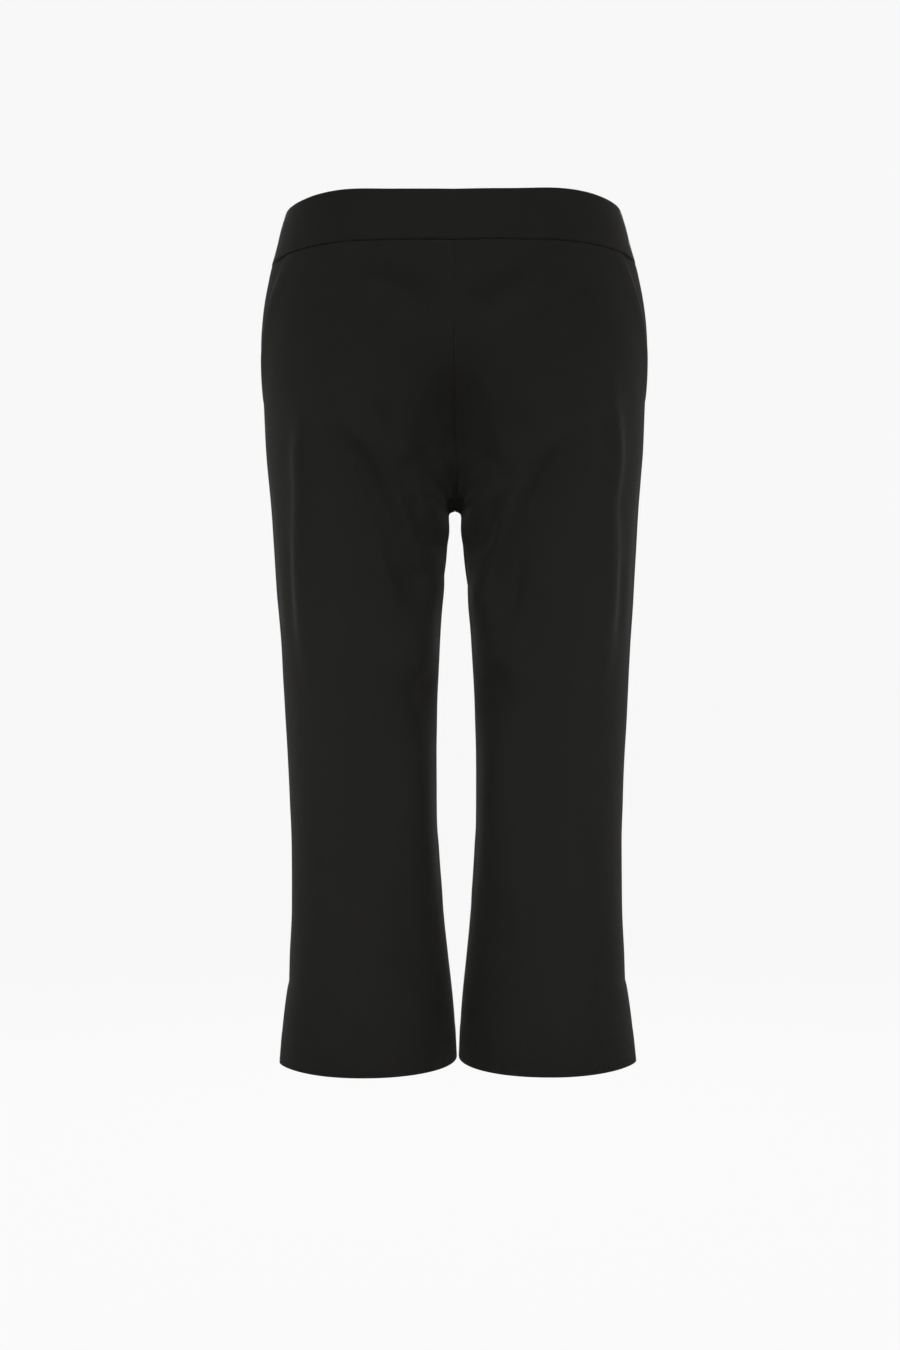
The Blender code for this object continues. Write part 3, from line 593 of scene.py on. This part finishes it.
def panel(g, side, name, finish):
    half = g["half"]
    points, normals = mirrored(g, side)
    start, end, top, hem, level = g["from_start"], g["from_end"], g["from_top"], g["from_hem"], g["level"]
    folds, uneven = folded(points, normals, half, side, g["from_side"], g["from_inner"])
    rise = level <= RISE
    # left and right meet on the middle plane, so the cloth stays put there above the crotch
    joined = 1 - ease((level - RISE) / 1.6)
    still = 1 - joined * (1 - ease(start / 16.0))
    near_crotch = 1 - 0.85 * np.exp(-((np.hypot(points[..., 0], points[..., 2] - CROTCH_Z) / 10.0) ** 2))
    move = (folds * ease(top / 22.0 + 0.05) * still + uneven * (0.25 + 0.75 * still) - hollow(points, half)) * near_crotch
    if half == "front":
        edge = np.clip(level / POCKET_LEVEL, 0, 1)
        # the pocket's edge stands off the hip a little, and its turned cloth falls away again over the last few mm
        lifted = POCKET_GAPE * (np.exp(-((np.maximum(end - POCKET_TURN, 0) / 13.0) ** 2)) - 0.92 * (1 - ease(end / POCKET_TURN)))
        move = move + np.sin(np.pi * np.clip(edge * 1.12 - 0.04, 0, 1)) ** 0.6 * lifted * (level < POCKET_LEVEL)
    # the seams are pressed open: each edge rolls into its seam, and the cloth dips a little towards it
    pucker = noise(points, 5.5, 21)
    slit = ease((level - SLIT_LEVEL) * 24.4 / 6.0)
    pocket = ease((POCKET_LEVEL - level) * 24.4 / 8.0) if half == "front" else np.zeros(level.shape)
    side_sewn = np.clip(1 - slit - pocket, 0, 1)
    soft_start = 0.22 + 0.78 * ease((level - 2.5) / 2.5)
    down = (rolled(start, 1.2) + (0.5 + 0.12 * pucker) * np.exp(-((start / 2.0) ** 2))) * soft_start
    down += side_sewn * (rolled(end, 0.8) + (0.3 + 0.1 * pucker) * np.exp(-((end / 2.6) ** 2)))
    down += (1 - side_sewn) * rolled(end, 1.0)
    down += rolled(top, 1.1) + (0.52 + 0.16 * pucker) * np.exp(-((top / 3.2) ** 2))
    down += rolled(hem, 1.15)
    # the turned-up hem holds the cloth out by its own thickness, down to a soft step on the right side
    down -= 0.22 * (1 - ease((hem - 25.5) / 5.0)) * (1 + 0.35 * noise(points, (16, 16, 16), 31))
    down -= slit * 0.15 * (1 - ease((end - 9.0) / 4.0))
    down = np.minimum(down, 1.6)
    outer = points + normals * (move - down)[..., None]
    # inside: the wall, its seam allowances, the turned-up hem and the turned slit and pocket edges
    wall = np.full(level.shape, CLOTH)
    allowance = 1 - ease((np.minimum(start, np.where(side_sewn > 0.5, end, 99)) - 10.5) / 1.4)
    turned_up = 1 - ease((hem - 27.5 - 0.5 * noise(points, (9, 9, 9), 41)) / 1.3)
    facing = slit * (1 - ease((end - 11.0) / 1.4))
    wall += np.maximum(np.maximum(allowance * 0.8, turned_up * 1.15), facing * 1.0)
    up = np.zeros(level.shape)
    folded_edge = np.where(side_sewn > 0.5, 0.0, 1.0)
    up += rolled(hem, 0.95) + folded_edge * rolled(end, 0.4)
    inner = points + normals * (move - wall + up)[..., None]
    over = MEET if half == "front" else -MEET
    at_rise = level[:, 0] <= RISE + 1e-9
    for grid in (outer, inner):
        grid[..., 0] = side * np.maximum(side * grid[..., 0], 0)
        # sewn edges go a hair over their seam, so that no light comes through it
        grid[:, 0, 0] = np.where(at_rise, -side * MEET, grid[:, 0, 0])
        grid[:, 0, 1] += np.where(at_rise, 0, over)
        grid[:, -1, 1] += np.where(side_sewn[:, -1] > 0.5, over, 0)
    uv = lengths_of(points)
    return shell(name, outer, inner, uv, (side > 0) == (half == "back"), finish)


def pocket_piece(side, name, finish):
    """The hip piece that shows inside the slanted pocket opening."""
    fine = 1.0 / 24.4
    last_level = POCKET_LEVEL + 0.3
    level = with_ends(last_level, 0.09, np.array(ROLL[:7]) * fine, np.array(ROLL[:4]) * fine)
    width = on_sections(np.zeros(len(level)), heights(np.full(len(level), 0.5), level, "front"), "front")[1]
    inset = pocket_inset(level)
    begin = 1 - (inset + POCKET_UNDER) / width
    end = 1 - EDGE / width
    k = with_ends(1.0, 1 / 46.0, np.array([0, 0.15, 0.6, 1.4]) / 60.0, np.array([0, 0.15, 0.45, 0.9, 1.5, 2.3]) / 60.0)
    share = begin[:, None] + (end - begin)[:, None] * k[None, :]
    levels = np.repeat(level[:, None], len(k), axis=1)
    levels[0] = -0.055  # its top edge is tucked up behind the band
    base, to_side, to_inner = surface("front", share, levels)
    normals = normals_of(base, -1.0)
    flip = np.array([float(side), 1.0, 1.0])
    points, normals = base * flip, normals * flip
    folds, uneven = folded(points, normals, "front", side, to_side, to_inner)
    top = np.concatenate([np.zeros((1, len(k))), np.cumsum(np.linalg.norm(np.diff(base, axis=0), axis=-1), axis=0)])
    reach = np.maximum(inset, 4.0)[:, None]
    low = ease((level / POCKET_LEVEL - 0.55) / 0.33)[:, None]
    sink = POCKET_SINK * np.maximum(ease((to_side / reach - 0.3) / 0.62), low)
    move = folds * ease(top / 22.0 + 0.05) + uneven
    pucker = noise(points, 5.5, 23)
    down = sink + rolled(to_side - EDGE, 0.8) + (0.3 + 0.1 * pucker) * np.exp(-((to_side / 2.6) ** 2))
    down += rolled(top, 0.8) + (0.4 + 0.12 * pucker) * np.exp(-((top / 2.8) ** 2))
    down[0] = 2.45
    outer = points + normals * (move - down)[..., None]
    inner = points + normals * (move - np.maximum(sink, down - 0.9) - 1.1)[..., None]
    for grid in (outer, inner):
        grid[:, -1, 1] += MEET
    return shell(name, outer, inner, lengths_of(points), side < 0, finish)


def band(half, name, finish):
    """The waistband's front or back, from the right side seam to the left one."""
    fine = 1.0 / 45.0
    level = -1 + with_ends(1.0, 1 / 20.0, np.array(ROLL) * fine, np.array(ROLL) * fine)
    width = float(on_sections(np.zeros(1), heights(np.full(1, 0.5), np.full(1, -0.5), half), half)[1][0])
    k = with_ends(1.0, 1 / 84.0, np.array([0.0, 1.0]) / 230.0, np.array(ROLL) / 230.0)
    share = np.minimum(k * (1 - EDGE / width), 1)
    s, v = np.meshgrid(share, level)
    v = v * 0.9975
    base, to_side, _ = surface(half, s, v)
    normals = normals_of(base, -1.0 if half == "front" else 1.0)
    base[:, 0, 0] = 0
    normals[:, 0, 0] = 0
    flip = np.array([-1.0, 1.0, 1.0])
    points = np.concatenate([base[:, :0:-1] * flip, base], axis=1)
    normals = np.concatenate([normals[:, :0:-1] * flip, normals], axis=1)
    normals /= np.linalg.norm(normals, axis=-1, keepdims=True)
    run = np.concatenate([np.zeros((1, points.shape[1])), np.cumsum(np.linalg.norm(np.diff(points, axis=0), axis=-1), axis=0)])
    top, bottom = run, run[-1:] - run
    to_side = np.concatenate([to_side[:, :0:-1], to_side], axis=1)
    pucker = noise(points, 6.0, 51)
    soft = 0.42 * noise(points, (74, 74, 96), 3) + 0.16 * noise(points, (26, 26, 60), 52) + 0.05 * noise(points, (9, 9, 30), 53)
    plump = 0.35 * np.sin(np.pi * np.clip(top / (top + bottom), 0, 1))
    move = BAND_PROUD + soft + plump
    down = rolled(top, 1.5) + rolled(bottom, 1.5) + (0.32 + 0.14 * pucker) * np.exp(-((bottom / 2.6) ** 2))
    down += rolled(to_side, 0.8) + (0.3 + 0.1 * pucker) * np.exp(-((to_side / 2.4) ** 2))
    outer = points + normals * (move - np.minimum(down, 2.2))[..., None]
    # inside: the facing's own edge seam, a shade below the top, and its lower edge
    under = 0.3 * np.exp(-(((top - 4.0) / 0.9) ** 2))
    up = rolled(top, 1.2) + rolled(bottom, 0.5) + under
    inner = points + normals * (soft - (BAND_WALL - BAND_PROUD) + up)[..., None]
    for grid in (outer, inner):
        grid[:, (0, -1), 1] += MEET if half == "front" else -MEET
    return shell(name, outer, inner, lengths_of(points), half == "back", finish)


# ---------------------------------------------------------------- materials
def cloth_finish(name, colour, roughness, grain, variation):
    """A near-black stretch twill: a fine diagonal rib and its yarns in metres of cut cloth, uneven dye and a soft nap."""
    m = bpy.data.materials.new(name)
    m.use_nodes = True
    tree = m.node_tree
    nodes, links = tree.nodes, tree.links
    shader = nodes["Principled BSDF"]
    m.diffuse_color = (*colour, 1)
    shader.inputs["Metallic"].default_value = 0.0
    shader.inputs["IOR"].default_value = 1.45
    shader.inputs["Specular IOR Level"].default_value = SPECULAR
    shader.inputs["Sheen Weight"].default_value = SHEEN
    shader.inputs["Sheen Roughness"].default_value = 0.4
    shader.inputs["Sheen Tint"].default_value = (1.0, 0.97, 0.92, 1)

    def node(kind, **values):
        n = nodes.new(kind)
        for key, value in values.items():
            if hasattr(n, key):
                setattr(n, key, value)
            else:
                n.inputs[key.replace("_", " ")].default_value = value
        return n

    def maths(operation, a, b=None, c=None):
        n = nodes.new("ShaderNodeMath")
        n.operation = operation
        for slot, value in enumerate((a, b, c)):
            if value is None:
                continue
            if isinstance(value, (int, float)):
                n.inputs[slot].default_value = value
            else:
                links.new(value, n.inputs[slot])
        return n.outputs[0]

    uv = node("ShaderNodeUVMap", uv_map="UVMap")
    place = node("ShaderNodeNewGeometry")
    split = node("ShaderNodeSeparateXYZ")
    links.new(uv.outputs["UV"], split.inputs[0])
    u, v = split.outputs["X"], split.outputs["Y"]
    # yarns wander a little
    wander = node("ShaderNodeTexNoise", Scale=150.0, Detail=2.0, Roughness=0.5)
    links.new(uv.outputs["UV"], wander.inputs["Vector"])
    off = maths("MULTIPLY", maths("SUBTRACT", wander.outputs["Fac"], 0.5), 0.9)
    turn = 2 * math.pi / grain
    diagonal = maths("SINE", maths("MULTIPLY_ADD", maths("ADD", u, v), turn * 0.70, maths("MULTIPLY", off, 2.2)))
    warp = maths("SINE", maths("MULTIPLY_ADD", u, turn * 1.6, off))
    weft = maths("SINE", maths("MULTIPLY_ADD", v, turn * 1.6, off))
    weave = maths("ADD", maths("MULTIPLY", diagonal, 0.34), maths("MULTIPLY", maths("MULTIPLY", warp, weft), 0.2))
    weave = maths("ADD", weave, 0.5)
    fuzz = node("ShaderNodeTexNoise", Scale=2600.0, Detail=3.0, Roughness=0.65)
    links.new(uv.outputs["UV"], fuzz.inputs["Vector"])
    blot = node("ShaderNodeTexNoise", Scale=9.0, Detail=4.0, Roughness=0.55)
    links.new(place.outputs["Position"], blot.inputs["Vector"])
    streak_map = node("ShaderNodeMapping")
    streak_map.inputs["Scale"].default_value = (420.0, 16.0, 1.0)
    links.new(uv.outputs["UV"], streak_map.inputs["Vector"])
    streak = node("ShaderNodeTexNoise", Scale=1.0, Detail=2.0, Roughness=0.6)
    links.new(streak_map.outputs["Vector"], streak.inputs["Vector"])

    # colour: dye unevenness and yarn streaks, with painted shade: darker between the ribs and in the fuzz's hollows,
    # where the bump is low
    tone = maths("ADD", maths("MULTIPLY", maths("SUBTRACT", blot.outputs["Fac"], 0.5), 0.5 * variation), maths("MULTIPLY", maths("SUBTRACT", streak.outputs["Fac"], 0.5), 0.34 * variation))
    tone = maths("ADD", tone, maths("MULTIPLY", maths("SUBTRACT", weave, 0.5), 0.55))
    tone = maths("ADD", tone, maths("MULTIPLY", maths("SUBTRACT", fuzz.outputs["Fac"], 0.5), 0.4))
    tone = maths("ADD", tone, 0.5)
    mix = node("ShaderNodeMix", data_type="RGBA", clamp_factor=True)
    links.new(tone, mix.inputs["Factor"])
    dark = [c * 0.62 for c in colour]
    light = [colour[0] * 1.4, colour[1] * 1.38, colour[2] * 1.34]
    mix.inputs[6].default_value = (*dark, 1)
    mix.inputs[7].default_value = (*light, 1)
    links.new(mix.outputs[2], shader.inputs["Base Color"])
    # roughness: the tops of the ribs are a little smoother
    rough = maths("ADD", roughness, maths("MULTIPLY", maths("SUBTRACT", 0.5, weave), 0.16))
    rough = maths("ADD", rough, maths("MULTIPLY", maths("SUBTRACT", blot.outputs["Fac"], 0.5), 0.14))
    links.new(maths("MINIMUM", rough, 0.98), shader.inputs["Roughness"])
    # bump: ribs and fuzz, then a fine slub
    fine_bump = node("ShaderNodeBump", Strength=0.42, Distance=0.00012)
    height = maths("ADD", weave, maths("MULTIPLY", fuzz.outputs["Fac"], 0.5))
    links.new(height, fine_bump.inputs["Height"])
    slub = node("ShaderNodeTexNoise", Scale=240.0, Detail=3.0, Roughness=0.55)
    links.new(uv.outputs["UV"], slub.inputs["Vector"])
    soft_bump = node("ShaderNodeBump", Strength=0.22, Distance=0.0003)
    links.new(slub.outputs["Fac"], soft_bump.inputs["Height"])
    links.new(fine_bump.outputs["Normal"], soft_bump.inputs["Normal"])
    links.new(soft_bump.outputs["Normal"], shader.inputs["Normal"])
    return m


SPECULAR = 0.05
SHEEN = 0.12
cloth = cloth_finish("black_twill_cloth", (0.0150, 0.0149, 0.0136), 0.6, 0.0009, 0.5)
band_cloth = cloth_finish("black_band_twill", (0.0148, 0.0147, 0.0134), 0.58, 0.00085, 0.45)
# the pocket piece is the same twill as the panels; its colour is a little darker as painted shade inside the pocket
# opening
pocket_cloth_painted_shade = cloth_finish("black_pocket_twill_painted_shade", (0.0144, 0.0143, 0.0131), 0.64, 0.0009, 0.5)

# ---------------------------------------------------------------- the pieces
NAMES = {1: "left", -1: "right"}
pieces = {}
for half in ("front", "back"):
    form = panel_form(half)
    for side in (1, -1):
        node = f"{half}_{NAMES[side]}"
        pieces[node] = panel(form, side, f"{node}_cloth", cloth)
    pieces[f"waistband_{half}"] = band(half, f"waistband_{half}_cloth", band_cloth)
for side in (1, -1):
    node = f"pocket_side_{NAMES[side]}"
    pieces[node] = pocket_piece(side, f"{node}_cloth", pocket_cloth_painted_shade)

for node, piece in pieces.items():
    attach(piece, "root")
    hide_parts(node)

# ---------------------------------------------------------------- floor, light and camera
scene = bpy.context.scene
scene.view_settings.view_transform = "Standard"
BACKGROUND = 0.939


def floor_finish():
    m = bpy.data.materials.new("studio_floor")
    m.use_nodes = True
    nodes, links = m.node_tree.nodes, m.node_tree.links
    shader = nodes["Principled BSDF"]
    shader.inputs["Base Color"].default_value = (0.03, 0.03, 0.03, 1)
    shader.inputs["Roughness"].default_value = 0.9
    shader.inputs["Specular IOR Level"].default_value = 0.0
    shader.inputs["Emission Color"].default_value = (1, 1, 1, 1)
    shader.inputs["Emission Strength"].default_value = FLOOR_GLOW
    return m


FLOOR_GLOW = 0.93
FLOOR_Z = -1.25
bpy.ops.mesh.primitive_circle_add(vertices=96, radius=60.0, fill_type="NGON", location=(0, 0, FLOOR_Z))
floor = bpy.context.object
floor.name = "studio_floor"
floor.data.materials.append(floor_finish())
floor.visible_diffuse = floor.visible_glossy = floor.visible_shadow = False  # a white sweep, kept out of the cloth's light

world = bpy.data.worlds.new("studio")
scene.world = world
world.use_nodes = True
wn, wl = world.node_tree.nodes, world.node_tree.links
back = wn["Background"]
back.inputs["Color"].default_value = (1, 1, 1, 1)
# the studio's soft light: how bright it is from the front, the back, each side, above and below
AROUND = {"front": 0.25, "back": 0.14, "side": 0.27, "above": 0.1, "below": 0.16}
where_from = wn.new("ShaderNodeTexCoord")
parts = wn.new("ShaderNodeSeparateXYZ")
wl.new(where_from.outputs["Generated"], parts.inputs[0])


def world_maths(operation, a, b):
    n = wn.new("ShaderNodeMath")
    n.operation = operation
    for slot, value in enumerate((a, b)):
        if isinstance(value, (int, float)):
            n.inputs[slot].default_value = value
        else:
            wl.new(value, n.inputs[slot])
    return n.outputs[0]


total = 0.0
for axis, plus, minus in (("X", "side", "side"), ("Y", "back", "front"), ("Z", "above", "below")):
    for sign, key in ((1.0, plus), (-1.0, minus)):
        lobe = world_maths("MAXIMUM", world_maths("MULTIPLY", parts.outputs[axis], sign), 0.0)
        total = world_maths("ADD", total, world_maths("MULTIPLY", world_maths("MULTIPLY", lobe, lobe), AROUND[key]))
seen = wn.new("ShaderNodeLightPath").outputs["Is Camera Ray"]
total = world_maths("MULTIPLY", total, world_maths("SUBTRACT", 1.0, seen))
wl.new(world_maths("ADD", total, world_maths("MULTIPLY", seen, BACKGROUND)), back.inputs["Strength"])


def softbox(name, place, aim, size, watts, spread=180):
    light = bpy.data.lights.new(name, "AREA")
    light.shape = "RECTANGLE"
    light.size, light.size_y = size
    light.energy = watts
    light.spread = math.radians(spread)
    obj = bpy.data.objects.new(name, light)
    scene.collection.objects.link(obj)
    obj.location = place
    obj.rotation_euler = (Vector(aim) - Vector(place)).to_track_quat("-Z", "Y").to_euler()
    obj.visible_camera = False
    return obj


softbox("key_light", (0.0, -3.6, 2.1), (0, 0, -0.4), (2.8, 1.8), 49.0)
softbox("top_light", (0.0, -0.6, 2.6), (0, 0, -0.3), (2.0, 1.2), 4.0)
for way in (1, -1):
    softbox("low_light", (1.6 * way, -1.7, -0.6), (0.08 * way, 0, -0.5), (1.0, 1.0), 4.1)
    softbox("side_light", (1.35 * way, 0.35, 0.05), (0, 0, -0.2), (0.5, 0.8), 2.3)
    # narrow beams: on the knee, the thigh's side, the hem and the hip
    softbox("knee_beam", (1.2 * way, -1.3, -0.62), (0.08 * way, 0, -0.5), (0.3, 0.3), 0.126, 26)
    softbox("thigh_beam", (1.6 * way, -0.8, -0.4), (0.12 * way, 0, -0.34), (0.3, 0.3), 0.052, 20)
    softbox("hem_beam", (0.8 * way, -1.6, -0.75), (0.08 * way, 0, -0.66), (0.3, 0.3), 0.042, 20)
    softbox("hip_beam", (1.9 * way, -1.9, 0.3), (0.1 * way, 0, -0.1), (0.4, 0.4), 0.15, 22)
softbox("back_light", (0.0, 2.6, 1.2), (0, 0, -0.3), (1.6, 1.0), 68.0)

camera_data = bpy.data.cameras.new("camera")
camera_data.sensor_width = 36.0
camera_data.lens = 53.92
camera_data.clip_start = 0.05
camera_data.clip_end = 200.0
camera = bpy.data.objects.new("camera", camera_data)
scene.collection.objects.link(camera)
camera.location = (-0.0052, -1.8, -0.351)
camera.matrix_world = (
    Matrix.Translation((-0.0052, -1.8, -0.351))
    @ Euler((math.radians(90 - 1.16), 0, 0)).to_matrix().to_4x4()
    @ Matrix.Rotation(math.radians(-0.30), 4, "Z")
)
scene.camera = camera
